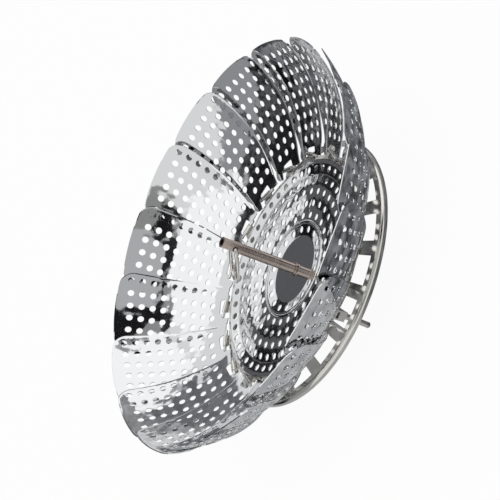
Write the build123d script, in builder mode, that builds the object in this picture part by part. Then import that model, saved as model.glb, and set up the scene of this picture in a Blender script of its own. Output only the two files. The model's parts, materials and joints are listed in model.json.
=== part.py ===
"""Folding steamer basket: a round perforated plate on a low hoop, three folding legs,
a centre post with a pull ring, and overlapping petals that are hinged round the plate.

Millimetres and degrees, +Z up. The origin is on the table, under the centre post, with
the legs down and the petals open.
"""
from build123d import *
from math import cos, radians, sin, tan
import os

# Driving sizes of the hoop that carries everything
hoop_radius = 70.0
hoop_lift = 15.0
band_height = 4.0
ledge_width = 2.0
ring_sheet = 0.7
flange_width = 2.2
window_border = 0.7
window_sill = 1.6
window_inner_width = 13.0
window_outer_width = 16.0

# Driving sizes of the petals and of their hinges
petal_count = 18
petal_length = 61.0
petal_rise_angle = 39.4
petal_bend_angle = 19.0
petal_bend_radius = 12.0
petal_sheet = 0.5
petal_tip_width = 45.0
petal_tip_crown = 2.8
petal_tip_corner = 6.0
petal_middle_width = 37.0
petal_root_width = 20.4
petal_neck_length = 3.0
petal_skew = 18.0
petal_roll = 5.0
hinge_setback = 9.5
hinge_rise = 12.0
hinge_bar_radius = 0.8
hinge_bar_sides = 8
hinge_bar_length = 12.0
hinge_clearance = 0.08
hinge_bar_setback = 0.45
slot_width = 8.0
slot_length = 3.6
tongue_width = 6.0
tongue_root = 3.6
tongue_hook = 0.7

# Driving sizes of the perforation, which is drawn coarser than the real one
plate_hole_radius = 1.6
petal_hole_radius = 2.2
hole_sides = 6
petal_hole_pitch = 10.5
petal_row_shares = (0.16, 0.46, 0.57, 0.77, 0.88)
petal_row_counts = (2, 2, 3, 4, 3)
plate_ring_counts = (24, 18, 12)

# Driving sizes of the plate
plate_sheet = 0.6
plate_rim_setback = 0.3
plate_seat_clearance = 0.4
plate_band_width = 5.3
plate_floor_drop = 1.3
bead_radius = 25.0
bead_half_width = 1.3
bead_height = 0.7
centre_radius = 19.0
centre_drop = 1.0

# Driving sizes of the post and of the pull ring
post_radius = 2.7
post_length = 42.0
post_bore_radius = 1.7
post_bore_depth = 4.0
cross_hole_drop = 7.3
cross_hole_radius = 1.5
washer_radius = 3.4
washer_sheet = 0.8
stud_radius = 1.9
stud_length = 4.2
nut_width = 7.0
nut_height = 2.4
pull_ring_radius = 9.8
pull_wire_radius = 0.95
pull_wire_sides = 6
pull_ring_droop = 31.0
pull_ring_turn = 30.0

# Driving sizes of the legs
leg_count = 3
leg_start_angle = -105.0
leg_radius = 1.5
leg_splay = 5.0
leg_tip_chamfer = 0.6
leg_flange_gap = 0.7
leg_pivot_drop = 4.2
leg_eye_radius = 2.2
leg_head_border = 0.1
leg_head_drop = 3.0
leg_pin_radius = 1.0
leg_pin_clearance = 0.08
bracket_sheet = 0.8
bracket_clearance = 0.15
bracket_half_length = 4.5
bracket_stop_top = 1.9
bracket_stop_bottom = 6.0
pin_head_radius = 1.7
pin_head_height = 0.6

# One overrun for every cut
overrun = 1.0

# Heights and angles that follow from the sizes above
pitch = 360.0 / petal_count
hinge_radius = hoop_radius - hinge_setback
hinge_height = hoop_lift + hinge_rise
flange_top = hinge_height - hinge_bar_radius - hinge_clearance
flange_outer = hinge_radius - hinge_bar_radius - hinge_bar_setback
flange_outer -= hinge_bar_length * sin(radians(petal_skew)) / 2
flange_inner = flange_outer - flange_width
plate_rim_radius = flange_outer - plate_rim_setback
plate_band_radius = flange_inner - plate_seat_clearance
plate_floor_radius = plate_band_radius - plate_band_width
bead_outer_radius = bead_radius + bead_half_width
plate_ring_pitch = (plate_floor_radius - bead_outer_radius) / len(plate_ring_counts)
rim_top = flange_top + plate_sheet
floor_top = rim_top - plate_floor_drop
centre_top = floor_top - centre_drop
post_foot = centre_top + washer_sheet
post_top = post_foot + post_length
leg_circle_radius = flange_inner - leg_flange_gap - bracket_half_length
leg_pivot_height = floor_top - plate_sheet - leg_pivot_drop

# The hinge line of the first petal lies level, turned by the skew from the hoop's tangent
hinge_point = Vector(hinge_radius, 0, hinge_height)
hinge_line = Vector(sin(radians(petal_skew)), cos(radians(petal_skew)), 0)
hinge_out = Vector(cos(radians(petal_skew)), -sin(radians(petal_skew)), 0)

# The petal's own frame has X from the hinge to the tip, Y across and Z into the bowl
petal_chord = Vector(cos(radians(petal_rise_angle)), 0, sin(radians(petal_rise_angle)))
petal_across = Vector(0, 1, 0).rotate(Axis((0, 0, 0), petal_chord), -petal_roll)
petal_plane = Plane(origin=hinge_point, x_dir=petal_chord, z_dir=petal_chord.cross(petal_across))
petal_side_plane = Plane(origin=hinge_point, x_dir=petal_chord, z_dir=-petal_across)
hinge_lean = hinge_line.dot(petal_chord) / hinge_line.dot(petal_across)

os.makedirs("parts", exist_ok=True)


def save(shape, label):
    """Names one finished piece and writes its file."""
    shape.label = label
    export_step(shape, f"parts/{label}.step")


# Tongue: a strip that runs out under a petal's bar and is folded round it
tongue_gap = hinge_bar_radius + hinge_clearance
tongue_out = tongue_gap + ring_sheet
with BuildPart() as tongue:
    with BuildSketch(Plane(origin=hinge_point, x_dir=hinge_out, z_dir=-hinge_line)):
        with BuildLine():
            Polyline(
                (-tongue_root, -tongue_out),
                (tongue_out, -tongue_out),
                (tongue_out, tongue_out),
                (-tongue_out, tongue_out),
                (-tongue_out, tongue_gap - tongue_hook),
                (-tongue_gap, tongue_gap - tongue_hook),
                (-tongue_gap, tongue_gap),
                (tongue_gap, tongue_gap),
                (tongue_gap, -tongue_gap),
                (-tongue_root, -tongue_gap),
                close=True,
            )
        make_face()
    extrude(amount=tongue_width / 2, both=True)

# Window: the opening in the hoop's cone under each petal
window_start = flange_outer + window_border
window_end = hoop_radius - ledge_width - window_sill
with BuildSketch() as window:
    with BuildLine():
        Polyline(
            (window_start, -window_inner_width / 2),
            (window_end, -window_outer_width / 2),
            (window_end, window_outer_width / 2),
            (window_start, window_inner_width / 2),
            close=True,
        )
    make_face()

# Hoop: one pressed ring with an upright band, a ledge, a windowed cone and a flange
with BuildPart() as base_ring:
    with BuildSketch(Plane.XZ):
        with BuildLine() as ring_section:
            Polyline(
                (hoop_radius, hoop_lift),
                (hoop_radius, hoop_lift + band_height),
                (hoop_radius - ledge_width, hoop_lift + band_height),
                (flange_outer, flange_top),
                (flange_inner, flange_top),
            )
            offset(amount=ring_sheet, kind=Kind.INTERSECTION, side=Side.LEFT)
        make_face()
    revolve(axis=Axis.Z)
    with BuildSketch(Plane.XY.offset(hoop_lift + band_height - ring_sheet - overrun)):
        with PolarLocations(0, petal_count):
            add(window.sketch)
    extrude(amount=flange_top, mode=Mode.SUBTRACT)

    # The tongues grow out of the flange, one in each window
    with PolarLocations(0, petal_count):
        add(tongue.part)
save(base_ring.part, "base_ring")

# Plate: a pressed disc whose rim lies on the hoop's flange
with BuildPart() as base_plate:
    with BuildSketch(Plane.XZ):
        with BuildLine():
            Polyline(
                (stud_radius, centre_top),
                (centre_radius, centre_top),
                (bead_radius - bead_half_width, floor_top),
                (bead_radius, floor_top + bead_height),
                (bead_outer_radius, floor_top),
                (plate_floor_radius, floor_top),
                (plate_band_radius, rim_top),
                (plate_rim_radius, rim_top),
            )
            offset(amount=plate_sheet, kind=Kind.INTERSECTION, side=Side.RIGHT)
        make_face()
    revolve(axis=Axis.Z)
    with BuildSketch(Plane.XY.offset(rim_top)):
        for index, ring_count in enumerate(plate_ring_counts):
            with PolarLocations(plate_floor_radius - (index + 0.5) * plate_ring_pitch, ring_count):
                RegularPolygon(plate_hole_radius, hole_sides)
    extrude(amount=-(rim_top - centre_top + plate_sheet + overrun), mode=Mode.SUBTRACT)
save(base_plate.part, "base_plate")

# Petal: a perforated sheet with two soft bends, slotted at its root round a hinge bar
with BuildPart() as petal:
    bend = radians(petal_bend_angle)
    flat_length = petal_length / (1 + 2 * cos(bend))
    bulge = flat_length * sin(bend)
    with BuildSketch(petal_side_plane):
        with BuildLine():
            FilletPolyline(
                (0, -petal_sheet / 2),
                (flat_length * cos(bend), -bulge - petal_sheet / 2),
                (petal_length - flat_length * cos(bend), -bulge - petal_sheet / 2),
                (petal_length, -petal_sheet / 2),
                radius=petal_bend_radius,
            )
            offset(amount=petal_sheet, side=Side.LEFT)
        make_face()
    extrude(amount=petal_tip_width / 2 + overrun, both=True)

    shoulder = petal_neck_length + hinge_bar_radius
    tip_start = petal_length - petal_tip_crown
    bar_end = hinge_bar_length / 2
    root_half = petal_root_width / 2
    middle_half = petal_middle_width / 2
    tip_half = petal_tip_width / 2
    with BuildSketch(petal_plane):
        with BuildLine() as petal_outline:
            Line((-bar_end * hinge_lean, -bar_end), (bar_end * hinge_lean, bar_end))
            Line((bar_end * hinge_lean, bar_end), (shoulder, root_half))
            Polyline((shoulder, root_half), (petal_length / 2, middle_half), (tip_start, tip_half))
            ThreePointArc((tip_start, tip_half), (petal_length, 0), (tip_start, -tip_half))
            Polyline((tip_start, -tip_half), (petal_length / 2, -middle_half), (shoulder, -root_half))
            Line((shoulder, -root_half), (-bar_end * hinge_lean, -bar_end))
        make_face()
        fillet(petal_outline.vertices().group_by(Axis.X)[-1], radius=petal_tip_corner)
    extrude(amount=bulge + overrun, both=True, mode=Mode.INTERSECT)

    with BuildSketch(petal_plane):
        with Locations((slot_length / 2, 0)):
            Rectangle(slot_length, slot_width)
        for row_share, row_count in zip(petal_row_shares, petal_row_counts):
            with Locations((row_share * petal_length, 0)):
                with GridLocations(0, petal_hole_pitch, 1, row_count):
                    RegularPolygon(petal_hole_radius, hole_sides)
    extrude(amount=bulge + overrun, both=True, mode=Mode.SUBTRACT)

    with BuildSketch(Plane(origin=hinge_point, x_dir=hinge_out, z_dir=-hinge_line)):
        RegularPolygon(hinge_bar_radius, hinge_bar_sides)
    extrude(amount=hinge_bar_length / 2, both=True)
for index in range(petal_count):
    save(petal.part.rotate(Axis.Z, index * pitch), f"petal_{index + 1:02d}")

# Post: a round bar, bored at the top, cross-drilled for the ring, with a stud at its foot
with BuildPart() as centre_post:
    with BuildSketch(Plane.XY.offset(post_foot)):
        Circle(post_radius)
    extrude(amount=post_length)
    with BuildSketch(Plane.XY.offset(post_foot)):
        Circle(stud_radius)
    extrude(amount=-stud_length)
    with BuildSketch(Plane.XY.offset(post_top)):
        Circle(post_bore_radius)
    extrude(amount=-post_bore_depth, mode=Mode.SUBTRACT)
    cross_hole_height = post_top - cross_hole_drop
    with BuildSketch(Plane.XZ):
        with Locations((0, cross_hole_height)):
            Circle(cross_hole_radius)
    extrude(amount=post_radius + overrun, both=True, mode=Mode.SUBTRACT)
save(centre_post.part.rotate(Axis.Z, -pull_ring_turn), "centre_post")

# Washer under the post's shoulder
with BuildPart() as post_washer:
    with BuildSketch(Plane.XY.offset(centre_top)):
        Circle(washer_radius)
        Circle(stud_radius, mode=Mode.SUBTRACT)
    extrude(amount=washer_sheet)
save(post_washer.part, "post_washer")

# Nut on the stud, under the plate
with BuildPart() as post_nut:
    with BuildSketch(Plane.XY.offset(centre_top - plate_sheet)):
        RegularPolygon(nut_width / 2, 6, major_radius=False)
        Circle(stud_radius, mode=Mode.SUBTRACT)
    extrude(amount=-nut_height)
save(post_nut.part, "post_nut")

# Pull ring: a wire ring that passes through the cross hole and hangs to one side
with BuildPart() as pull_ring:
    wire_sag = post_radius**2 / (2 * pull_ring_radius)
    droop = radians(pull_ring_droop)
    ring_way = Vector(-cos(droop), 0, -sin(droop))
    ring_centre = Vector(0, 0, cross_hole_height) + ring_way * (pull_ring_radius - wire_sag / 2)
    ring_normal = ring_way.cross(Vector(0, 1, 0))
    with BuildSketch(Plane(origin=ring_centre, x_dir=ring_way, z_dir=Vector(0, 1, 0))):
        with Locations((pull_ring_radius, 0)):
            RegularPolygon(pull_wire_radius, pull_wire_sides)
    revolve(axis=Axis(ring_centre, ring_normal))
save(pull_ring.part.rotate(Axis.Z, -pull_ring_turn), "pull_ring")

# The pivot of the first leg, and the plane across it that the leg swings in
leg_pivot = Vector(leg_circle_radius, 0, leg_pivot_height)
leg_plane = Plane(leg_pivot, x_dir=Vector(1, 0, 0), z_dir=Vector(0, -1, 0))
head_half = leg_radius + leg_head_border
ear_inside = head_half + bracket_clearance
ear_outside = ear_inside + bracket_sheet
splay = radians(leg_splay)

# Leg bracket: a folded clevis under the plate, with a web that stops the splayed leg
stop_near = head_half / cos(splay) + bracket_stop_bottom * tan(splay) + bracket_clearance
stop_far = stop_near + bracket_sheet
with BuildPart() as leg_bracket:
    with BuildSketch(leg_plane):
        with BuildLine():
            Polyline(
                (-bracket_half_length, leg_pivot_drop),
                (bracket_half_length, leg_pivot_drop),
                (bracket_half_length, leg_pivot_drop - bracket_sheet),
                (stop_far, -bracket_stop_bottom),
                (stop_near, -bracket_stop_bottom),
                (-leg_eye_radius, -leg_eye_radius),
                (-bracket_half_length, leg_pivot_drop - bracket_sheet),
                close=True,
            )
        make_face()
    extrude(amount=ear_outside, both=True)
    with BuildSketch(leg_plane):
        with Locations((0, leg_pivot_drop - bracket_sheet)):
            Rectangle(
                2 * (bracket_half_length + overrun),
                leg_pivot_drop - bracket_sheet + bracket_stop_top,
                align=(Align.CENTER, Align.MAX),
            )
        with Locations((stop_near, leg_pivot_drop - bracket_sheet)):
            Rectangle(
                2 * bracket_half_length,
                leg_pivot_drop + bracket_stop_bottom + overrun,
                align=(Align.MAX, Align.MAX),
            )
    extrude(amount=ear_inside, both=True, mode=Mode.SUBTRACT)
    with BuildSketch(leg_plane):
        Circle(leg_pin_radius)
    extrude(amount=ear_outside + overrun, both=True, mode=Mode.SUBTRACT)

# Leg: a round pin with a square head, cross-drilled for its rivet, which folds inwards
leg_reach = (leg_pivot_height - (leg_radius - leg_tip_chamfer) * sin(splay)) / cos(splay)
with BuildPart() as leg:
    with BuildSketch(leg_plane):
        Circle(leg_eye_radius)
        Rectangle(2 * head_half, leg_head_drop, align=(Align.CENTER, Align.MAX))
    extrude(amount=head_half, both=True)
    with BuildSketch(leg_plane):
        Circle(leg_pin_radius + leg_pin_clearance)
    extrude(amount=head_half + overrun, both=True, mode=Mode.SUBTRACT)
    with BuildSketch(Plane.XY.offset(leg_pivot_height - leg_head_drop)):
        with Locations((leg_circle_radius, 0)):
            Circle(leg_radius)
    extrude(amount=-(leg_reach - leg_head_drop))
    chamfer(leg.faces().sort_by(Axis.Z)[0].edges(), length=leg_tip_chamfer)
splayed_leg = leg.part.rotate(Axis(leg_pivot, Vector(0, -1, 0)), leg_splay)

# Leg pin: a rivet through both ears, with its head outside one of them
with BuildPart() as leg_pin:
    with BuildSketch(leg_plane):
        Circle(leg_pin_radius)
    extrude(amount=ear_outside, both=True)
    with BuildSketch(leg_plane.offset(ear_outside)):
        Circle(pin_head_radius)
    extrude(amount=pin_head_height)

leg_pitch = 360.0 / leg_count
for index in range(leg_count):
    angle = leg_start_angle + index * leg_pitch
    save(leg_bracket.part.rotate(Axis.Z, angle), f"leg_bracket_{index + 1}")
    save(splayed_leg.rotate(Axis.Z, angle), f"leg_{index + 1}")
    save(leg_pin.part.rotate(Axis.Z, angle), f"leg_pin_{index + 1}")
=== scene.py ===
# %% [markdown]
# A folding steamer basket is mostly one thing repeated: a thin leaf of polished stainless
# steel, punched full of round holes and hinged to a low hoop. Its look comes from three
# sources. The leaves are mirrors, so they show the studio and one another. The holes show
# whatever lies behind them. And the overlaps draw a fine dark line from tip to root.
#
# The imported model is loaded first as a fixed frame. Every new piece is measured from it.

import json
from math import ceil, cos, pi, radians, sin, tau

import bmesh
import bpy
import numpy as np
from mathutils import Matrix, Vector


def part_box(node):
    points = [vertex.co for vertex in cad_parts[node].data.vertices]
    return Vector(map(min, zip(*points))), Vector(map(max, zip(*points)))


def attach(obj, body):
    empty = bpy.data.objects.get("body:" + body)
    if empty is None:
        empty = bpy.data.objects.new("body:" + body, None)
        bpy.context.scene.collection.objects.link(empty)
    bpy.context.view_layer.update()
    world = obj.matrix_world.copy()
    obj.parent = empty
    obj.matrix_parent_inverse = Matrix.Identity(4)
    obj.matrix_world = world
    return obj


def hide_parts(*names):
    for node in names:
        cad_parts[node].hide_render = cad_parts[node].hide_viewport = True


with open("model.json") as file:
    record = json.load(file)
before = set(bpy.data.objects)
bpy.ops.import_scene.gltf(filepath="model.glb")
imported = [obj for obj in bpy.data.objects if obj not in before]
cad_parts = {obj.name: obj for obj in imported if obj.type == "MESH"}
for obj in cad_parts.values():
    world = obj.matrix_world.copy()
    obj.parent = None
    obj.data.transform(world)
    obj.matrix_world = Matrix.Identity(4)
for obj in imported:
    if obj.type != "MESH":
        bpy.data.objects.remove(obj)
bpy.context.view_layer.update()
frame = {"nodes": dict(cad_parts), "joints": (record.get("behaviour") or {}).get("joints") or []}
scene = bpy.context.scene
MM = 0.001
merge_distance = 0.001 * MM

# %% [markdown]
# The main sizes come from the frame, so that each new piece lies where its solid lies. The
# hinges give the place and the direction of the first petal's bar.

# %% Measure the frame
ring_low, ring_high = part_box("base_ring")
_, plate_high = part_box("base_plate")
_, post_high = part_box("centre_post")
hinge = next(joint for joint in frame["joints"] if joint["name"] == "petal_01_hinge")
hoop_radius = ring_high.x
hoop_lift = ring_low.z
rim_radius = plate_high.x
rim_top = plate_high.z
post_radius = post_high.x
petal_names = sorted(name for name in frame["nodes"] if name.startswith("petal_"))
pitch = tau / len(petal_names)
print("hoop", round(hoop_radius / MM, 2), "lift", round(hoop_lift / MM, 2))
print("plate rim", round(rim_radius / MM, 2), "top", round(rim_top / MM, 2))
print("hinge", {key: hinge[key] for key in hinge if key != "name"})

# %% [markdown]
# The photograph looks into the bowl from 26 degrees above the table, with the camera turned
# by 70 degrees about its own axis, so that the post points to the left. A long lens from
# two metres keeps the hoop's ellipse true.

# %% Camera
camera_elevation = radians(26.28)
camera_turn = radians(69.73)
camera_distance = 2.0
frame_pixels = 500
pixels_per_metre = 2000
hoop_centre_pixel = (310.0, 274.5)

level_right = Vector((1, 0, 0))
level_up = Vector((0, sin(camera_elevation), cos(camera_elevation)))
camera_right = cos(camera_turn) * level_right - sin(camera_turn) * level_up
camera_up = cos(camera_turn) * level_up + sin(camera_turn) * level_right
camera_back = Vector((0, -cos(camera_elevation), sin(camera_elevation)))

across = (frame_pixels / 2 - hoop_centre_pixel[0]) / pixels_per_metre
upward = (hoop_centre_pixel[1] - frame_pixels / 2) / pixels_per_metre
target = Vector((0, 0, hoop_lift)) + across * camera_right + upward * camera_up

camera_data = bpy.data.cameras.new("camera")
camera_data.sensor_width = 36.0
camera_data.lens = camera_data.sensor_width * camera_distance * pixels_per_metre / frame_pixels
camera = bpy.data.objects.new("camera", camera_data)
camera.matrix_world = Matrix.Translation(target + camera_distance * camera_back) @ Matrix(
    (camera_right, camera_up, camera_back)
).transposed().to_4x4()
scene.collection.objects.link(camera)
scene.camera = camera
scene.view_settings.view_transform = "Standard"
print("lens", round(camera_data.lens, 1), "mm, camera at", [round(x, 3) for x in camera.location])

# %% [markdown]
# Every material here is a small tree of nodes. One function adds a node with its settings
# and links, and another turns the hex value of a colour, as a screen shows it, into the
# linear numbers that the renderer works with. All the pieces are bare metal, so a third
# makes that shader, and the finishes differ in the noise that they give to it.

# %% Helpers for materials
def linear(hex_value):
    """The linear colour of an sRGB hex value such as 'c8cacc'."""
    parts = [int(hex_value[i : i + 2], 16) / 255 for i in (0, 2, 4)]
    return [c / 12.92 if c <= 0.04045 else ((c + 0.055) / 1.055) ** 2.4 for c in parts] + [1.0]


def add(tree, kind, settings=None, links=None):
    """Adds one node. Settings go to its properties or sockets, and links to its sockets."""
    node = tree.nodes.new(kind)
    for key, value in (settings or {}).items():
        if isinstance(key, str) and hasattr(node, key):
            setattr(node, key, value)
        else:
            node.inputs[key].default_value = value
    for key, socket in (links or {}).items():
        tree.links.new(socket, node.inputs[key])
    return node


def new_material(name):
    """An empty material with its output, and the object coordinates that patterns read."""
    material = bpy.data.materials.new(name)
    material.use_nodes = True
    tree = material.node_tree
    tree.nodes.clear()
    place = add(tree, "ShaderNodeTexCoord")
    output = add(tree, "ShaderNodeOutputMaterial")
    return material, tree, place.outputs["Object"], output


def metal(tree, output, tint, roughness, spread, noise, bump=None):
    """Bare metal whose roughness wanders with a noise, between two shares of its own."""
    rough = add(
        tree,
        "ShaderNodeMapRange",
        {"To Min": roughness * spread[0], "To Max": roughness * spread[1]},
        {"Value": noise.outputs["Fac"]},
    )
    links = {"Roughness": rough.outputs["Result"]}
    if bump:
        links["Normal"] = bump.outputs["Normal"]
    shader = add(
        tree, "ShaderNodeBsdfPrincipled", {"Base Color": linear(tint), "Metallic": 1.0}, links
    )
    tree.links.new(shader.outputs["BSDF"], output.inputs["Surface"])


print("mid grey 808080 is", round(linear("808080")[0], 3), "in linear light")

# %% [markdown]
# Polished stainless steel, as on the petals and the plate: rolled bright, punched, and then
# pressed. To the eye it is a mirror that ripples, because each punched hole pulls the sheet
# a little. The bump is one noise, whose swells are wider than the hole spacing on the petals
# and about half as wide on the plate. The plate's middle, with its two inner circles of
# holes, stays calm. The roughness wanders a little, as on metal that was wiped by hand.

# %% Polished steel
hole_spacing = 6.1 * MM
wipe_size = 14 * MM
ripple_height = 0.3 * MM
calm_edge = 2 * MM


def polished_steel(name, tint, roughness, swell, ripple_size, calm_radius):
    """Bright rolled steel whose mirror ripples, outside a calm disc round the axis."""
    material, tree, place, output = new_material(name)
    haze = add(
        tree, "ShaderNodeTexNoise", {"Scale": 1 / wipe_size, "Detail": 3.0}, {"Vector": place}
    )
    ripple = add(
        tree, "ShaderNodeTexNoise", {"Scale": 1 / ripple_size, "Detail": 1.0}, {"Vector": place}
    )
    reach = add(tree, "ShaderNodeVectorMath", {"operation": "LENGTH"}, {0: place})
    strength = add(
        tree,
        "ShaderNodeMapRange",
        {
            "From Min": calm_radius,
            "From Max": calm_radius + calm_edge,
            "To Min": 0.0,
            "To Max": swell,
        },
        {"Value": reach.outputs["Value"]},
    )
    bump = add(
        tree,
        "ShaderNodeBump",
        {"Distance": ripple_height},
        {"Height": ripple.outputs["Fac"], "Strength": strength.outputs["Result"]},
    )
    metal(tree, output, tint, roughness, (0.7, 1.5), haze, bump)
    return material


petal_ripple, plate_ripple = 1.6 * hole_spacing, 5 * MM
petal_steel = polished_steel("mirror_polished_stainless", "d2d3d4", 0.06, 0.6, petal_ripple, 0.0)
plate_steel = polished_steel("bright_rolled_stainless", "d6d7d8", 0.06, 0.35, plate_ripple, 33 * MM)
print("ripples, mm:", [round(size / MM, 1) for size in (petal_ripple, plate_ripple)])

# %% [markdown]
# The hoop and the brackets have a satin finish: the steel was ground with a belt, which
# leaves fine lines round the axis. A noise that is read only with the distance from the axis
# and the height has no change round the hoop, so it gives true concentric lines. The real
# lines are a few hundredths of a millimetre apart, too fine to show, so they are drawn
# wider, with a noise of 0.8 mm. The nut and the rivets have the same lines under a duller
# plating.
#
# The post, the legs and the pull ring are bar and wire that was drawn through a die. Their
# streaks come from a noise that is stretched upwards, which is along the post and nearly
# along the legs. The ring's wire has the same noise, so its streaks don't follow the wire
# all the way round.

# %% Satin and turned steel
line_spacing, line_depth = 0.8 * MM, 0.03 * MM
streak_width, streak_length = 0.6 * MM, 30 * MM


def turned_finish(name, tint, roughness, depth):
    """Steel with fine lines round the vertical axis."""
    material, tree, place, output = new_material(name)
    parts = add(tree, "ShaderNodeSeparateXYZ", links={"Vector": place})
    flat = add(
        tree, "ShaderNodeCombineXYZ", links={"X": parts.outputs["X"], "Y": parts.outputs["Y"]}
    )
    reach = add(tree, "ShaderNodeVectorMath", {"operation": "LENGTH"}, {0: flat.outputs["Vector"]})
    lines_at = add(
        tree,
        "ShaderNodeCombineXYZ",
        links={"X": reach.outputs["Value"], "Z": parts.outputs["Z"]},
    )
    lines = add(
        tree,
        "ShaderNodeTexNoise",
        {"Scale": 1 / line_spacing, "Detail": 2.0},
        {"Vector": lines_at.outputs["Vector"]},
    )
    bump = add(
        tree,
        "ShaderNodeBump",
        {"Strength": depth, "Distance": line_depth},
        {"Height": lines.outputs["Fac"]},
    )
    metal(tree, output, tint, roughness, (0.75, 1.3), lines, bump)
    return material


def drawn_finish(name, tint, roughness):
    """Bar or wire that was pulled through a die, with fine upright streaks."""
    material, tree, place, output = new_material(name)
    stretched = add(
        tree,
        "ShaderNodeMapping",
        {"Scale": (1 / streak_width, 1 / streak_width, 1 / streak_length)},
        {"Vector": place},
    )
    streaks = add(
        tree,
        "ShaderNodeTexNoise",
        {"Scale": 1.0, "Detail": 2.0},
        {"Vector": stretched.outputs["Vector"]},
    )
    metal(tree, output, tint, roughness, (0.7, 1.6), streaks)
    return material


hoop_steel = turned_finish("satin_stainless", "cfcdc8", 0.14, 0.25)
post_steel = drawn_finish("drawn_stainless_bar", "b5a79f", 0.16)
wire_steel = drawn_finish("drawn_stainless_wire", "cbc8c4", 0.12)
plated_steel = turned_finish("zinc_plated_steel", "c9cbcc", 0.24, 0.2)
print("lines and streaks, mm:", [round(s / MM, 2) for s in (line_spacing, streak_width)])

# %% [markdown]
# A pressed sheet is made in the order of the real one. A blank is cut flat, with its outline
# and its holes. It is then pressed to a curved surface that a formula gives, and gets its
# thickness last. The flat blank is cut into small cells before it is pressed, or it would
# bend only at the holes.
#
# The mirror shows every small fault of a mesh, so the finished sheet takes its shading
# normals from the formula, and not from the cells.

# %% Helpers for pressed sheets
lying_flat = 0.6


def mesh_of(bm, name):
    """Turns a bmesh into a mesh and frees it."""
    mesh = bpy.data.meshes.new(name)
    bm.to_mesh(mesh)
    bm.free()
    return mesh


def add_loop(bm, points):
    """Joins points into one closed loop of edges."""
    corners = [bm.verts.new((x, y, 0)) for x, y in points]
    for a, b in zip(corners, corners[1:] + corners[:1]):
        bm.edges.new((a, b))


def circle_points(centre, radius, sides, turn=0.0):
    """Points round a circle."""
    x, y = centre
    angles = [turn + tau * i / sides for i in range(sides)]
    return [(x + radius * cos(a), y + radius * sin(a)) for a in angles]


def flat_blank(outlines, holes, hole_radius, hole_sides, lip):
    """A flat sheet inside its outlines, with punched holes and a narrow lip at every edge."""
    bm = bmesh.new()
    for outline in outlines:
        add_loop(bm, outline)
    for centre in holes:
        add_loop(bm, circle_points(centre, hole_radius, hole_sides))
    bmesh.ops.triangle_fill(bm, use_beauty=True, edges=bm.edges[:], normal=(0, 0, 1))
    bmesh.ops.recalc_face_normals(bm, faces=bm.faces[:])
    if bm.faces[:][0].normal.z < 0:
        bmesh.ops.reverse_faces(bm, faces=bm.faces[:])
    if lip:
        bmesh.ops.inset_region(
            bm, faces=bm.faces[:], thickness=lip, depth=0, use_boundary=True, use_even_offset=True
        )
    return bm


def cut_cells(bm, low, high, step):
    """Cuts a flat blank into cells along X and Y."""
    for axis in (0, 1):
        normal = Vector((axis == 0, axis == 1, 0))
        count = ceil((high[axis] - low[axis]) / step)
        for i in range(1, count):
            cut = normal * (low[axis] + (high[axis] - low[axis]) * i / count)
            everything = bm.verts[:] + bm.edges[:] + bm.faces[:]
            bmesh.ops.bisect_plane(bm, geom=everything, plane_co=cut, plane_no=normal)


def surface_normals(height, x, y):
    """The upward normals of a surface z = height(x, y)."""
    step = 0.05 * MM
    slope_x = (height(x + step, y) - height(x - step, y)) / (2 * step)
    slope_y = (height(x, y + step) - height(x, y - step)) / (2 * step)
    normals = np.stack([-slope_x, -slope_y, np.ones_like(x)], axis=1)
    return normals / np.linalg.norm(normals, axis=1, keepdims=True)


def press(blank, name, height, sheet):
    """Presses a copy of a flat blank to z = height(x, y) and gives it its thickness."""
    bm = bmesh.new()
    bm.from_mesh(blank)
    made = bmesh.ops.extrude_face_region(bm, geom=bm.faces[:], use_keep_orig=True)["geom"]
    bm.verts.index_update()
    upper = {v.index for v in made if isinstance(v, bmesh.types.BMVert)}
    places = np.array([v.co for v in bm.verts])
    up = surface_normals(height, places[:, 0], places[:, 1])
    side = np.array([0.5 if v.index in upper else -0.5 for v in bm.verts])
    places[:, 2] = height(places[:, 0], places[:, 1])
    places += up * sheet * side[:, None]
    for vert, place in zip(bm.verts, places):
        vert.co = place
    bmesh.ops.triangulate(bm, faces=bm.faces[:])
    bmesh.ops.recalc_face_normals(bm, faces=bm.faces[:])
    mesh = mesh_of(bm, name)
    shade_from_surface(mesh, height)
    return mesh


def shade_from_surface(mesh, height):
    """Takes the normals of both sides from the formula and leaves the cut edges sharp."""
    loops = np.zeros(len(mesh.loops), int)
    mesh.loops.foreach_get("vertex_index", loops)
    places = np.array([v.co for v in mesh.vertices])
    up = surface_normals(height, places[:, 0], places[:, 1])[loops]
    faces = np.repeat(np.array([p.normal for p in mesh.polygons]), 3, axis=0)
    facing = (up * faces).sum(axis=1)
    normals = np.where(abs(facing)[:, None] > lying_flat, up * np.sign(facing)[:, None], faces)
    mesh.shade_smooth()
    mesh.normals_split_custom_set(normals.tolist())


def finished(name, mesh, material, body, slot_name, *nodes):
    """Makes the piece: a mesh on its body, with its finish, in place of the solids named."""
    mesh.materials.clear()
    mesh.materials.append(material)
    piece = bpy.data.objects.new(name, mesh)
    scene.collection.objects.link(piece)
    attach(piece, body)
    if nodes:
        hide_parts(*nodes)
    return piece


level = surface_normals(lambda x, y: 0 * x, np.zeros(1), np.zeros(1))[0]
print("normal of a level sheet", [float(v) for v in level])

# %% [markdown]
# A petal's outline, seen flat: X runs from the hinge to the tip and Y across. The sides
# swell gently from the root to the tip, the tip is crowned and has round corners, and the
# root has a slot for the tongue that holds its bar. The bar lies at an angle across the
# root, which is what lets eighteen petals swing past each other. On the side that the next
# petal hides, the root has a flap, so that the table doesn't show between two petals.

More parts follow.
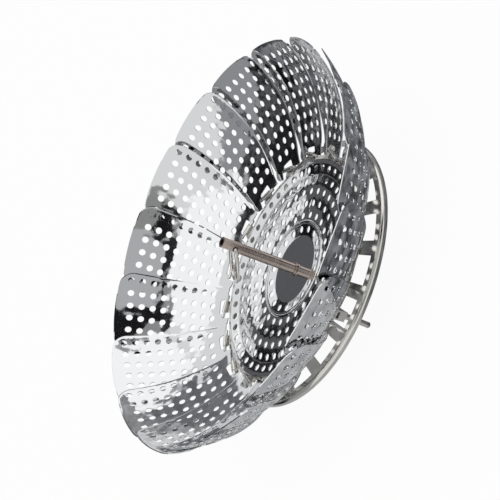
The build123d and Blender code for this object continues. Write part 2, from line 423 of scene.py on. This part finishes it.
# %% The petal's outline
petal_length = 61 * MM
root_half, middle_half, tip_half = 11.0 * MM, 18.8 * MM, 22.5 * MM
neck, tip_crown = 3.8 * MM, 2.8 * MM
tip_corner, hidden_corner = 6 * MM, 10 * MM
bar_length, bar_radius, bar_rounding = 12 * MM, 0.8 * MM, 0.3 * MM
slot_half, slot_length, slot_corner = 4 * MM, 3.6 * MM, 1 * MM
petal_rise, petal_roll = radians(39.4), radians(5)
petal_sheet, lip, petal_cell = 0.5 * MM, 0.5 * MM, 2.6 * MM
side_steps, middle_steps, corner_steps = 16, 7, 7

bar_centre = Vector(hinge["pos_m"])
bar_line = -Vector(hinge["axis"])
chord = Vector((cos(petal_rise), 0, sin(petal_rise)))
petal_across = Matrix.Rotation(-petal_roll, 3, chord) @ Vector((0, 1, 0))
inward = chord.cross(petal_across)
petal_place = Matrix((chord, petal_across, inward)).transposed().to_4x4()
petal_place.translation = bar_centre
bar_lean = bar_line.dot(chord) / bar_line.dot(petal_across)
corner_start = petal_length - tip_crown - tip_corner


def half_width(s):
    """Half the petal's width at a distance from the hinge, a parabola through three widths."""
    a, b, c = neck, petal_length / 2, corner_start
    return (
        root_half * (s - b) * (s - c) / ((a - b) * (a - c))
        + middle_half * (s - a) * (s - c) / ((b - a) * (b - c))
        + tip_half * (s - a) * (s - b) / ((c - a) * (c - b))
    )


def tip_reach(w):
    """How far the tip reaches at a distance from the middle."""
    corner = tip_corner if w < 0 else hidden_corner
    into_corner = min(max(0.0, abs(w) - (tip_half - corner)), corner)
    rounding = corner - (corner**2 - into_corner**2) ** 0.5
    return petal_length - tip_crown * (w / tip_half) ** 2 - rounding


def petal_outline():
    """The flat outline, from the slot round the tip and back."""
    side = [neck + (corner_start - neck) * i / side_steps for i in range(side_steps + 1)]
    hidden_end = petal_length - tip_crown - hidden_corner
    hidden_side = [s for s in side if s < hidden_end] + [hidden_end]
    turns = [1 - sin(i * pi / (2 * corner_steps)) for i in range(corner_steps - 1, 0, -1)]
    run = 2 * tip_half - 2 * hidden_corner
    middle = [hidden_corner - tip_half + run * i / middle_steps for i in range(middle_steps + 1)]
    tip = [-(tip_half - tip_corner * t) for t in reversed(turns)] + middle
    tip += [tip_half - hidden_corner * t for t in [1] + turns]
    tip = sorted(set(tip))
    slot = [
        (slot_half * bar_lean, slot_half),
        (slot_length - slot_corner, slot_half),
        (slot_length - 0.3 * slot_corner, slot_half - 0.3 * slot_corner),
        (slot_length, slot_half - slot_corner),
    ]
    root = [(0.5, 6.1), (0.5, 9.4), (0.8, 10.2)]
    root = [(s * MM, w * MM) for s, w in root]
    hidden_root = [(-2, 11.8), (-3.4, 11), (-4, 9.6), (-4, 6.8), (0.5, 6.1)]
    hidden_root = [(s * MM, w * MM) for s, w in hidden_root]
    points = [(s, -w) for s, w in reversed(slot[1:])]
    points += [(-slot_half * bar_lean, -slot_half), (-bar_length / 2 * bar_lean, -bar_length / 2)]
    points += [(s - w * bar_lean, -w) for s, w in root]
    points += [(s, -half_width(s)) for s in side]
    points += [(tip_reach(w), w) for w in tip]
    points += [(s, half_width(s)) for s in reversed(hidden_side)]
    points += [(s + w * bar_lean, w) for s, w in hidden_root]
    points += [(bar_length / 2 * bar_lean, bar_length / 2)]
    points += slot
    return points


print("outline points", len(petal_outline()), "bar lean", round(bar_lean, 3))

# %% [markdown]
# The holes stand in columns beside the clockwise edge, which is the edge that shows when
# the basket is open. Columns that would run off the other edge stop short of it.

# %% The petal's holes
hole_radius, hole_sides = 1.65 * MM, 24
column_spacing = 6.7 * MM
edge_margin = 4.0 * MM
first_row, last_row, row_count = 8.2 * MM, 53.6 * MM, 9


def petal_holes():
    """The centres of the holes, row by row."""
    centres = []
    for row in range(row_count):
        s = first_row + (last_row - first_row) * row / (row_count - 1)
        half = min(half_width(s), tip_half)
        w = edge_margin - half
        while w < half - 0.8 * edge_margin:
            centres.append((s, w))
            w += column_spacing
    return centres


petal_hole_centres = petal_holes()
blank = flat_blank([petal_outline()], petal_hole_centres, hole_radius, hole_sides, lip)
cut_cells(blank, (-2 * MM, -tip_half), (petal_length, tip_half), petal_cell)
petal_blank = mesh_of(blank, "petal_blank")
print("petal: holes", len(petal_hole_centres), "blank faces", len(petal_blank.polygons))

# %% [markdown]
# The press bends a petal along its length and a little across, like a piece of a bowl. Each
# hole sits in a shallow dent, the edges turn down a little, and no two petals are quite
# alike, so a slow wave with its own phase runs over each one.

# %% The petal's pressed surface
bow, bow_across, bow_start = 7.0 * MM, 125 * MM, 15 * MM
dent, dent_reach = 0.07 * MM, 2.6 * MM
edge_turn, edge_reach = 0.15 * MM, 1.0 * MM
wave, wave_start = 0.05 * MM, 20 * MM
waves_along, waves_across, phase_step = 210, 160, 2.4

outline_array = np.array(petal_outline())
hole_array = np.array(petal_hole_centres)


def distance_to_outline(x, y):
    """The distance from each point to the petal's outline, the root left out."""
    a = outline_array
    b = np.roll(a, -1, axis=0)
    past_neck = neck - 1e-9
    tipward = (a[:, 0] > past_neck) & (b[:, 0] > past_neck) & (abs(a[:, 1]) > slot_half)
    counted = tipward | (a[:, 0] > slot_length * 2)
    a, b = a[counted], b[counted]
    run = b - a
    to_x, to_y = x[:, None] - a[:, 0], y[:, None] - a[:, 1]
    share = np.clip((to_x * run[:, 0] + to_y * run[:, 1]) / (run**2).sum(axis=1), 0, 1)
    return np.hypot(to_x - share * run[:, 0], to_y - share * run[:, 1]).min(axis=1)


def nearest_hole(x, y, holes):
    """The square of the distance from each point to the hole nearest to it."""
    return ((x[:, None] - holes[:, 0]) ** 2 + (y[:, None] - holes[:, 1]) ** 2).min(axis=1)


def petal_height(index):
    """The pressed surface of one petal, as a function of the flat place."""
    phase = phase_step * index

    def height(x, y):
        along = 2 * x / petal_length - 1
        bowl = bow * (along**2 - 1) + y**2 / (2 * bow_across) * np.clip(x / bow_start, 0, 1)
        dents = dent * np.exp(-nearest_hole(x, y, hole_array) / dent_reach**2)
        edge = np.clip(1 - distance_to_outline(x, y) / edge_reach, 0, 1) ** 2
        waves = np.sin(x * waves_along + phase) * np.cos(y * waves_across + 1.7 * phase)
        waves = waves * np.clip(x / wave_start, 0, 1)
        return bowl - dents - edge_turn * edge + wave * waves

    return height


middle = petal_height(0)(np.array([petal_length / 2]), np.zeros(1))[0]
print("a petal's middle lies", round(-middle / MM, 2), "mm below its chord")

# %% [markdown]
# Each petal's root is rolled round a bar that turns in its tongue. The bar is a short spun
# rod with round ends, and it joins the petal's mesh.

# %% Make the petals
def spin_round(bm, steps, axis=(0, 0, 1), centre=(0, 0, 0)):
    """Spins everything in a bmesh once round an axis."""
    bmesh.ops.spin(
        bm,
        geom=bm.verts[:] + bm.edges[:],
        cent=centre,
        axis=axis,
        angle=tau,
        steps=steps,
        use_merge=True,
    )


def spin_section(points, steps):
    """Spins a line through (radius, height) points once round the vertical axis."""
    bm = bmesh.new()
    corners = [bm.verts.new((r, 0, z)) for r, z in points]
    for a, b in zip(corners, corners[1:]):
        bm.edges.new((a, b))
    spin_round(bm, steps)
    return bm


def spun_rod(points, sides):
    """A closed rod from its half section."""
    bm = spin_section(points, sides)
    bmesh.ops.remove_doubles(bm, verts=bm.verts[:], dist=merge_distance)
    bmesh.ops.recalc_face_normals(bm, faces=bm.faces[:])
    return bm


def rod_points(radius, length, rounding):
    """A rod's half section with rounded ends, from one end to the other."""
    angles = (0, pi / 6, pi / 3, pi / 2)
    turn = [(radius - rounding * (1 - sin(a)), rounding * (1 - cos(a))) for a in angles]
    low = [(0.0, 0.0)] + [(r, z) for r, z in turn]
    high = [(r, length - z) for r, z in reversed(turn)] + [(0.0, length)]
    return [(r, z - length / 2) for r, z in low + high]


def add_mesh(base, other):
    """Adds a bmesh to a mesh and keeps both shadings."""
    mesh = mesh_of(other, "joined")
    mesh.shade_smooth()
    mesh.set_sharp_from_angle(angle=radians(35))
    pair = [bpy.data.objects.new(m.name, m) for m in (base, mesh)]
    for item in pair:
        scene.collection.objects.link(item)
    with bpy.context.temp_override(active_object=pair[0], selected_editable_objects=pair):
        bpy.ops.object.join()
    bpy.data.objects.remove(pair[0])
    return base


bar_turn = Vector((0, 0, 1)).rotation_difference(bar_line).to_matrix().to_4x4()
bar_turn.translation = bar_centre
for index, name in enumerate(petal_names):
    petal_mesh = press(petal_blank, name + "_sheet", petal_height(index), petal_sheet)
    petal_mesh.transform(petal_place)
    bar = spun_rod(rod_points(bar_radius, bar_length, bar_rounding), 20)
    bmesh.ops.transform(bar, matrix=bar_turn, verts=bar.verts[:])
    add_mesh(petal_mesh, bar)
    petal_mesh.transform(Matrix.Rotation(index * pitch, 4, "Z"))
    finished(name + "_sheet", petal_mesh, petal_steel, name, "mirror_petal", name)
print("one petal:", sum(len(p.vertices) - 2 for p in petal_mesh.polygons), "triangles")

# %% [markdown]
# The plate is pressed from one disc: a sunk centre, a thin bead, a floor and a sloped band
# that ends in the rim. The floor looks flat, but it is a mirror, and a mirror shows a dish
# of half a millimetre as a ring of light and dark. So the floor is dished a little, swells
# a little from ring to ring, and wanders by a tenth of a millimetre.
#
# The holes stand on circles, as many on each as fit at one spacing of 7.1 mm. The blank is
# filled in rings, each between two of the circles on which the sheet bends, so that the
# press bends it exactly there.

# %% The plate
plate_sheet, plate_cell, plate_weld = 0.6 * MM, 4 * MM, 0.01 * MM
plate_spacing = 7.1 * MM
circle_turn, ring_sides = 0.37, 180
plate_circles = [r * MM for r in (20.9, 28.2, 34.4, 40.6, 46.7, 52.6)]
plate_hole_radius = 1.75 * MM
band_rise, dish_depth, centre_drop = 0.85 * MM, 0.6 * MM, 0.9 * MM
swell_height, swell_middle, swell_length = 0.36 * MM, 34.5 * MM, 25 * MM
plate_dent = 0.04 * MM
floor_top = rim_top - band_rise
bead_radius, bead_half, bead_rise = 24.9 * MM, 0.7 * MM, 0.22 * MM
centre_inner, centre_outer = 17.6 * MM, 23.4 * MM
band_inner, band_outer = 49.5 * MM, 55.2 * MM
bend_reach = 0.6 * MM
stud_radius = 1.9 * MM


def ramp(r, start, end):
    """A rise from 0 to 1 with rounded bends at both ends."""
    soft = bend_reach / 3
    rise = np.logaddexp(0, (r - start) / soft) - np.logaddexp(0, (r - end) / soft)
    return rise * soft / (end - start)


def plate_profile(r):
    """The height of the plate's middle surface at a distance from the axis."""
    on_floor = np.clip(r, centre_outer, band_inner)
    dish = dish_depth * (band_inner - on_floor) / (band_inner - centre_outer)
    swell = swell_height * np.sin(tau * (on_floor - swell_middle) / swell_length)
    floor = floor_top - plate_sheet / 2 - dish + swell
    sunk = centre_drop * (1 - ramp(r, centre_inner, centre_outer))
    bead = bead_rise * np.clip(1 - ((r - bead_radius) / bead_half) ** 2, 0, 1)
    return floor - sunk + bead + band_rise * ramp(r, band_inner, band_outer)


def floor_waves(x, y):
    """Slow faults of the floor, in millimetres, 30 to 50 mm from crest to crest."""
    return 0.06 * np.sin(x * 190 + 1) * np.cos(y * 170 + 2) + 0.1 * np.sin(x * 130 - y * 90)


def plate_height(x, y):
    """The plate's pressed surface with a dent at each hole."""
    r = np.hypot(x, y)
    dents = plate_dent * np.exp(-nearest_hole(x, y, plate_holes) / dent_reach**2)
    floor_share = ramp(r, centre_outer, 1.3 * centre_outer) - ramp(r, band_inner, band_outer)
    return plate_profile(r) - dents + floor_waves(x, y) * floor_share * MM


plate_holes = []
for ring, ring_radius in enumerate(plate_circles):
    ring_count = round(tau * ring_radius / plate_spacing)
    plate_holes += circle_points((0, 0), ring_radius, ring_count, turn=circle_turn * ring)
ring_edges = [stud_radius, rim_radius]
ring_edges += [bead_radius + bead_half * t for t in (-1, -0.6, -0.2, 0.2, 0.6, 1)]
for bend in (centre_inner, centre_outer, band_inner, band_outer):
    ring_edges += [bend + bend_reach * t for t in (-1, -0.33, 0.33, 1)]
ring_edges = sorted(ring_edges)
plate_bm = bmesh.new()
for inner, outer in zip(ring_edges, ring_edges[1:]):
    inside = [c for c in plate_holes if inner < Vector(c).length < outer]
    loops = [circle_points((0, 0), r, ring_sides) for r in (inner, outer)]
    part = flat_blank(loops, inside, plate_hole_radius, hole_sides, 0)
    plate_bm.from_mesh(mesh_of(part, "plate_part"))
bmesh.ops.remove_doubles(plate_bm, verts=plate_bm.verts[:], dist=plate_weld)
cut_cells(plate_bm, (-rim_radius, -rim_radius), (rim_radius, rim_radius), plate_cell)
plate_blank = mesh_of(plate_bm, "plate_blank")
plate_holes = np.array(plate_holes)
plate_mesh = press(plate_blank, "perforated_plate", plate_height, plate_sheet)
finished("perforated_plate", plate_mesh, plate_steel, "base", "polished_steel", "base_plate")
print("plate: holes", len(plate_holes), "triangles", len(plate_mesh.polygons))

# %% [markdown]
# The hoop is one pressed ring. Its section runs up the band, over the ledge, up the cone
# and in to the flange under the plate. The section is spun in 216 steps, twelve for each
# petal, and the cone's faces in the middle eight of each twelve are deleted: those are the
# windows. What is left is a bare surface, which solidify turns into a sheet.

# %% The hoop
ring_sheet = 0.7 * MM
steps_per_petal, window_steps, band_steps = 12, 8, 8
band_height, ledge_width, band_curve = 4 * MM, 2 * MM, 1.1 * MM
hinge_clearance = 0.08 * MM
flange_top = bar_centre.z - bar_radius - hinge_clearance
flange_outer, flange_inner = 57.4 * MM, 55.2 * MM
window_start, window_end = 60.2 * MM, 66.4 * MM


def cone_height(r):
    """The height of the cone between the flange and the ledge."""
    start, end = flange_outer, hoop_radius - ledge_width
    low, high = hoop_lift + band_height, flange_top
    return high + (low - high) * (r - start) / (end - start)


band_turns = [-1 + 2 * i / band_steps for i in range(band_steps + 1)]
section = [
    (hoop_radius - band_curve * t**2, hoop_lift + band_height * (t + 1) / 2) for t in band_turns
]
section += [
    (hoop_radius - ledge_width, hoop_lift + band_height),
    (window_end, cone_height(window_end)),
    (window_start, cone_height(window_start)),
    (flange_outer, flange_top),
    (flange_inner, flange_top),
]
hoop = spin_section(section, steps_per_petal * len(petal_names))


def in_window(face):
    """Whether a face of the spun hoop lies in a window."""
    middle = face.calc_center_median()
    reach = Vector((middle.x, middle.y)).length
    turn = (np.arctan2(middle.y, middle.x) / pitch + 0.5) % 1 - 0.5
    return window_start < reach < window_end and abs(turn) < window_steps / steps_per_petal / 2


bmesh.ops.delete(hoop, geom=[f for f in hoop.faces if in_window(f)], context="FACES")
bmesh.ops.recalc_face_normals(hoop, faces=hoop.faces[:])
if hoop.faces[:][0].normal.dot(hoop.faces[:][0].calc_center_median()) < 0:
    bmesh.ops.reverse_faces(hoop, faces=hoop.faces[:])
bmesh.ops.solidify(hoop, geom=hoop.faces[:], thickness=ring_sheet)
print("hoop faces", len(hoop.faces))

# %% [markdown]
# In each window a tongue runs out from the flange, passes under the petal's bar and is
# curled back over it. The strip is an edge that is extruded outwards and then spun round
# the bar's own line, so that it follows the bar's slant.

# %% The tongues
tongue_half, tongue_root = 3 * MM, 3.6 * MM
curl_radius = bar_radius + hinge_clearance + ring_sheet / 2
curl_angle, curl_steps = radians(255), 16
bar_out = bar_line.cross(Vector((0, 0, 1)))


def curled_tongue():
    """One tongue, at the first petal."""
    bm = bmesh.new()
    start = bar_centre - bar_out * tongue_root - Vector((0, 0, curl_radius))
    ends = [bm.verts.new(start + bar_line * side) for side in (-tongue_half, tongue_half)]
    bm.edges.new(ends)
    out = bmesh.ops.extrude_edge_only(bm, edges=bm.edges[:])["geom"]
    moved = [v for v in out if isinstance(v, bmesh.types.BMVert)]
    bmesh.ops.translate(bm, verts=moved, vec=bar_out * tongue_root)
    edge = [e for e in out if isinstance(e, bmesh.types.BMEdge)]
    bmesh.ops.spin(
        bm,
        geom=moved + edge,
        cent=bar_centre,
        axis=-bar_line,
        angle=curl_angle,
        steps=curl_steps,
    )
    bmesh.ops.recalc_face_normals(bm, faces=bm.faces[:])
    bmesh.ops.solidify(bm, geom=bm.faces[:], thickness=ring_sheet)
    return bm


for index in range(len(petal_names)):
    tongue = curled_tongue()
    turn = Matrix.Rotation(index * pitch, 4, "Z")
    bmesh.ops.transform(tongue, matrix=turn, verts=tongue.verts[:])
    hoop.from_mesh(mesh_of(tongue, "tongue"))
bmesh.ops.recalc_face_normals(hoop, faces=hoop.faces[:])
hoop_mesh = mesh_of(hoop, "pressed_hoop")
hoop_mesh.shade_smooth()
hoop_mesh.set_sharp_from_angle(angle=radians(32))
finished("pressed_hoop", hoop_mesh, hoop_steel, "base", "satin_steel", "base_ring")
print("hoop with tongues, faces", len(hoop_mesh.polygons))

# %% [markdown]
# The pull ring is a closed loop of round wire. A circle of wire is spun round the loop's
# own axis, which its hinge gives: the loop lies in the hinge's line and hangs to one side.

# %% The pull ring
ring_hinge = next(joint for joint in frame["joints"] if joint["name"] == "pull_ring_hinge")
ring_line, ring_hole = Vector(ring_hinge["axis"]), Vector(ring_hinge["pos_m"])
loop_radius, wire_radius, loop_droop = 9.8 * MM, 0.95 * MM, radians(31)
wire_sides, loop_steps = 20, 96
loop_side = ring_line.cross(Vector((0, 0, 1))).normalized()
loop_way = -loop_side * cos(loop_droop) - Vector((0, 0, 1)) * sin(loop_droop)
loop_middle = ring_hole + loop_way * (loop_radius - post_radius**2 / (4 * loop_radius))
wire = bmesh.new()
bmesh.ops.create_circle(wire, segments=wire_sides, radius=wire_radius)
wire_turn = Matrix((loop_way, ring_line.cross(loop_way), ring_line)).transposed().to_4x4()
wire_turn.translation = loop_middle + loop_way * loop_radius
bmesh.ops.transform(wire, matrix=wire_turn, verts=wire.verts[:])
spin_round(wire, loop_steps, loop_way.cross(ring_line), loop_middle)
bmesh.ops.remove_doubles(wire, verts=wire.verts[:], dist=merge_distance)
bmesh.ops.recalc_face_normals(wire, faces=wire.faces[:])
loop_mesh = mesh_of(wire, "wire_ring")
loop_mesh.shade_smooth()
finished("wire_ring", loop_mesh, wire_steel, "pull_ring", "wire_steel", "pull_ring")
print("ring faces", len(loop_mesh.polygons), "middle, mm", [round(v / MM, 2) for v in loop_middle])

# %% [markdown]
# The small parts are made from bar or folded from sheet, and their solids already have the
# right shape, so those keep their meshes and only get their finish.

# %% Finishes for the small solids
small_finishes = {
    "centre_post": post_steel,
    "post_washer": post_steel,
    "post_nut": plated_steel,
    "leg_bracket": hoop_steel,
    "leg_pin": plated_steel,
    "leg_": wire_steel,
}
for name, node in frame["nodes"].items():
    if node.hide_render:
        continue
    finish = next(small_finishes[start] for start in small_finishes if name.startswith(start))
    node.data.materials.clear()
    node.data.materials.append(finish)
print("solids kept:", sorted(n for n, o in frame["nodes"].items() if not o.hide_render))

# %% [markdown]
# The studio: a white floor and a white surround, which the metal shows too. Polished steel
# is drawn by what it reflects, so in a studio that is white all round it would be white on
# white. Cards stand round the basket in directions that were judged from the photograph:
# grey and dark ones behind it, which the plate and the upper petals show, and a pale one
# with dark edges beside the camera, for the petals on the left.

# %% The surround and the floor
floor_half = 4.0
glow_share = 0.94
basket_middle = Vector((0, 0, 40 * MM))


def rays_to(tree, *kinds):
    """One for the kinds of ray named, and nothing for the others."""
    rays = add(tree, "ShaderNodeLightPath")
    total = rays.outputs[kinds[0]]
    for kind in kinds[1:]:
        total = add(
            tree, "ShaderNodeMath", {"operation": "MAXIMUM"}, {0: total, 1: rays.outputs[kind]}
        ).outputs[0]
    return total


seeing_rays = ("Is Camera Ray", "Is Glossy Ray", "Is Transmission Ray")


def surround():
    """A white world to the eye and in reflections, and a plainer light on the object."""
    world = bpy.data.worlds.new("surround")
    world.use_nodes = True
    tree = world.node_tree
    tree.nodes.clear()
    light = add(tree, "ShaderNodeBackground", {"Color": linear("f4f5f7"), "Strength": 0.85})
    white = add(tree, "ShaderNodeBackground", {"Color": linear("ffffff"), "Strength": 1.0})
    mix = add(
        tree,
        "ShaderNodeMixShader",
        links={0: rays_to(tree, *seeing_rays), 1: light.outputs[0], 2: white.outputs[0]},
    )
    output = add(tree, "ShaderNodeOutputWorld")
    tree.links.new(mix.outputs[0], output.inputs["Surface"])
    scene.world = world


def floor_finish():
    """A pale floor that keeps the object's shadow and looks white."""
    material, tree, place, output = new_material("white_paper")
    share = add(
        tree,
        "ShaderNodeMath",
        {"operation": "MULTIPLY", 1: glow_share},
        {0: rays_to(tree, *seeing_rays)},
    )
    paper = add(tree, "ShaderNodeBsdfDiffuse", {"Color": linear("f2f2f1")})
    glow = add(tree, "ShaderNodeEmission", {"Color": linear("ffffff"), "Strength": 1.0})
    mix = add(
        tree,
        "ShaderNodeMixShader",
        links={0: share.outputs[0], 1: paper.outputs[0], 2: glow.outputs[0]},
    )
    tree.links.new(mix.outputs[0], output.inputs["Surface"])
    return material


def stage_piece(name, bm, material):
    """A piece of the studio, which is no part of the object."""
    mesh = mesh_of(bm, name)
    mesh.materials.append(material)
    piece = bpy.data.objects.new(name, mesh)
    scene.collection.objects.link(piece)
    return piece


surround()
floor_bm = bmesh.new()
bmesh.ops.create_grid(floor_bm, x_segments=1, y_segments=1, size=floor_half)
stage_piece("floor", floor_bm, floor_finish())
print("world", scene.world.name)

# %% [markdown]
# Each card is a piece of a large sphere round the basket, from one azimuth to another and
# from one elevation to another, so its edges are easy to place in the reflections. A nearer
# card covers the ones behind it. Only glossy rays see a card, and it casts no shadow. A real
# room is never even, so most cards have soft patches from a noise. Two round cards lie on
# the floor, because the outsides of the near petals show the ground under them. They are
# painted shade: a grey one for the floor in shade under and behind the basket, and a darker
# one in patches for the basket's own shadow towards +X.

# %% The cards
def card_finish(name, shade, mottle=0.0, patch=0.3):
    """A matt card that gives off its shade in reflections, even or in soft patches."""
    material, tree, place, output = new_material(name)
    patches = add(
        tree, "ShaderNodeTexNoise", {"Scale": 1 / patch, "Detail": 3.0}, {"Vector": place}
    )
    level = add(
        tree,
        "ShaderNodeMapRange",
        {"From Min": 0.35, "From Max": 0.65, "To Min": 1 - mottle, "To Max": 1 + mottle},
        {"Value": patches.outputs["Fac"]},
    )
    glow = add(
        tree, "ShaderNodeEmission", {"Color": linear(shade)}, {"Strength": level.outputs["Result"]}
    )
    tree.links.new(glow.outputs[0], output.inputs["Surface"])
    return material


def only_reflected(card):
    """Hides a card from every ray but the glossy ones."""
    card.visible_camera = False
    card.visible_diffuse = False
    card.visible_transmission = False
    card.visible_shadow = False


def card(name, azimuths, elevations, shade, distance=3.0, mottle=0.0, patch=0.3):
    """A card that reflections see between two azimuths and two elevations, in degrees."""
    bm = bmesh.new()
    bmesh.ops.create_grid(bm, x_segments=12, y_segments=8, size=0.5)
    for vert in bm.verts:
        a = radians(azimuths[0] + (vert.co.x + 0.5) * (azimuths[1] - azimuths[0]))
        e = radians(elevations[0] + (vert.co.y + 0.5) * (elevations[1] - elevations[0]))
        way = Vector((cos(a) * cos(e), sin(a) * cos(e), sin(e)))
        vert.co = basket_middle + way * distance
    only_reflected(stage_piece(name, bm, card_finish(name + "_shade", shade, mottle, patch)))


card("card_behind", (28, 72), (14, 47), "828286", mottle=0.3)
card("card_plate", (86.5, 93.5), (23, 29.5), "626265", 2.8)
card("card_plate_dark", (78, 97), (10, 31), "303032", 2.9, 0.7, 0.12)
card("card_plate_left", (70, 80), (10, 29), "e0e0e2", mottle=0.3)
card("card_plate_low", (78, 97), (-1, 11), "606062", mottle=0.5)
card("card_plate_high", (72, 104), (31, 38), "ffffff", mottle=0.5, patch=0.12)
card("card_behind_dark", (104, 152), (-1, 60), "505052", 2.9, 0.9, 0.15)
card("card_behind_low", (96, 105), (-1, 35), "161618", 2.8)
card("card_behind_strip", (129, 137), (8, 21), "161618", 2.8, 0.6, 0.15)
card("card_behind_strip_low", (141, 150), (2, 14), "161618", 2.8, 0.6, 0.15)
card("card_behind_black", (104, 130), (26, 57), "28282a", 2.8, 0.6)
card("card_left", (150, 182), (-1, 60), "a4a5a8")
card("card_right_low", (-30, 72), (-1, 14), "a8a8aa", mottle=0.4)
card("card_camera_dim", (243, 271), (24, 60), "a0a19f")
card("card_camera", (270, 322), (24, 60), "c9cacc")
card("card_camera_edge_left", (247, 269), (43, 58), "202022", 2.8)
card("card_camera_edge_top", (262, 352), (57, 65), "2a2b2d", 2.8)
card("card_camera_edge_right", (318, 342), (24, 58), "1c1c1e", 2.8)
# The two ground cards are painted shade: grey for the shaded floor under and behind the basket,
# darker in patches for the basket's shadow towards +X, seen only in reflections.
for name, place, reach, shade, mottle in (
    ("card_below", (-50, 300, 0.3), 500, "bcbdbf", 0.2),
    ("card_below_dark", (275, -40, 0.6), 290, "78797c", 0.7),
):
    ground = bmesh.new()
    bmesh.ops.create_circle(ground, cap_ends=True, segments=64, radius=reach * MM)
    bmesh.ops.translate(ground, verts=ground.verts[:], vec=Vector(place) * MM)
    only_reflected(stage_piece(name, ground, card_finish(name + "_shade", shade, mottle, 12 * MM)))

# %% [markdown]
# A large soft lamp hangs over the basket and fills the reflections of everything that looks
# up. A smaller one stands at its right. Together with the world they give a plain level of
# light, at which a colour looks about as it was written.

# %% Lamps
def soft_lamp(name, place, size, power):
    """A square lamp that faces the basket."""
    lamp_data = bpy.data.lights.new(name, "AREA")
    lamp_data.size = size
    lamp_data.energy = power
    lamp = bpy.data.objects.new(name, lamp_data)
    lamp.location = place
    lamp.rotation_mode = "QUATERNION"
    way = Vector(place) - basket_middle
    lamp.rotation_quaternion = way.to_track_quat("Z", "Y")
    lamp.visible_camera = False
    scene.collection.objects.link(lamp)


soft_lamp("lamp_above", (0, 0, 2.4), 2.2, 5)
soft_lamp("lamp_right", (0.87, 0.08, 0.72), 0.9, 0.9)
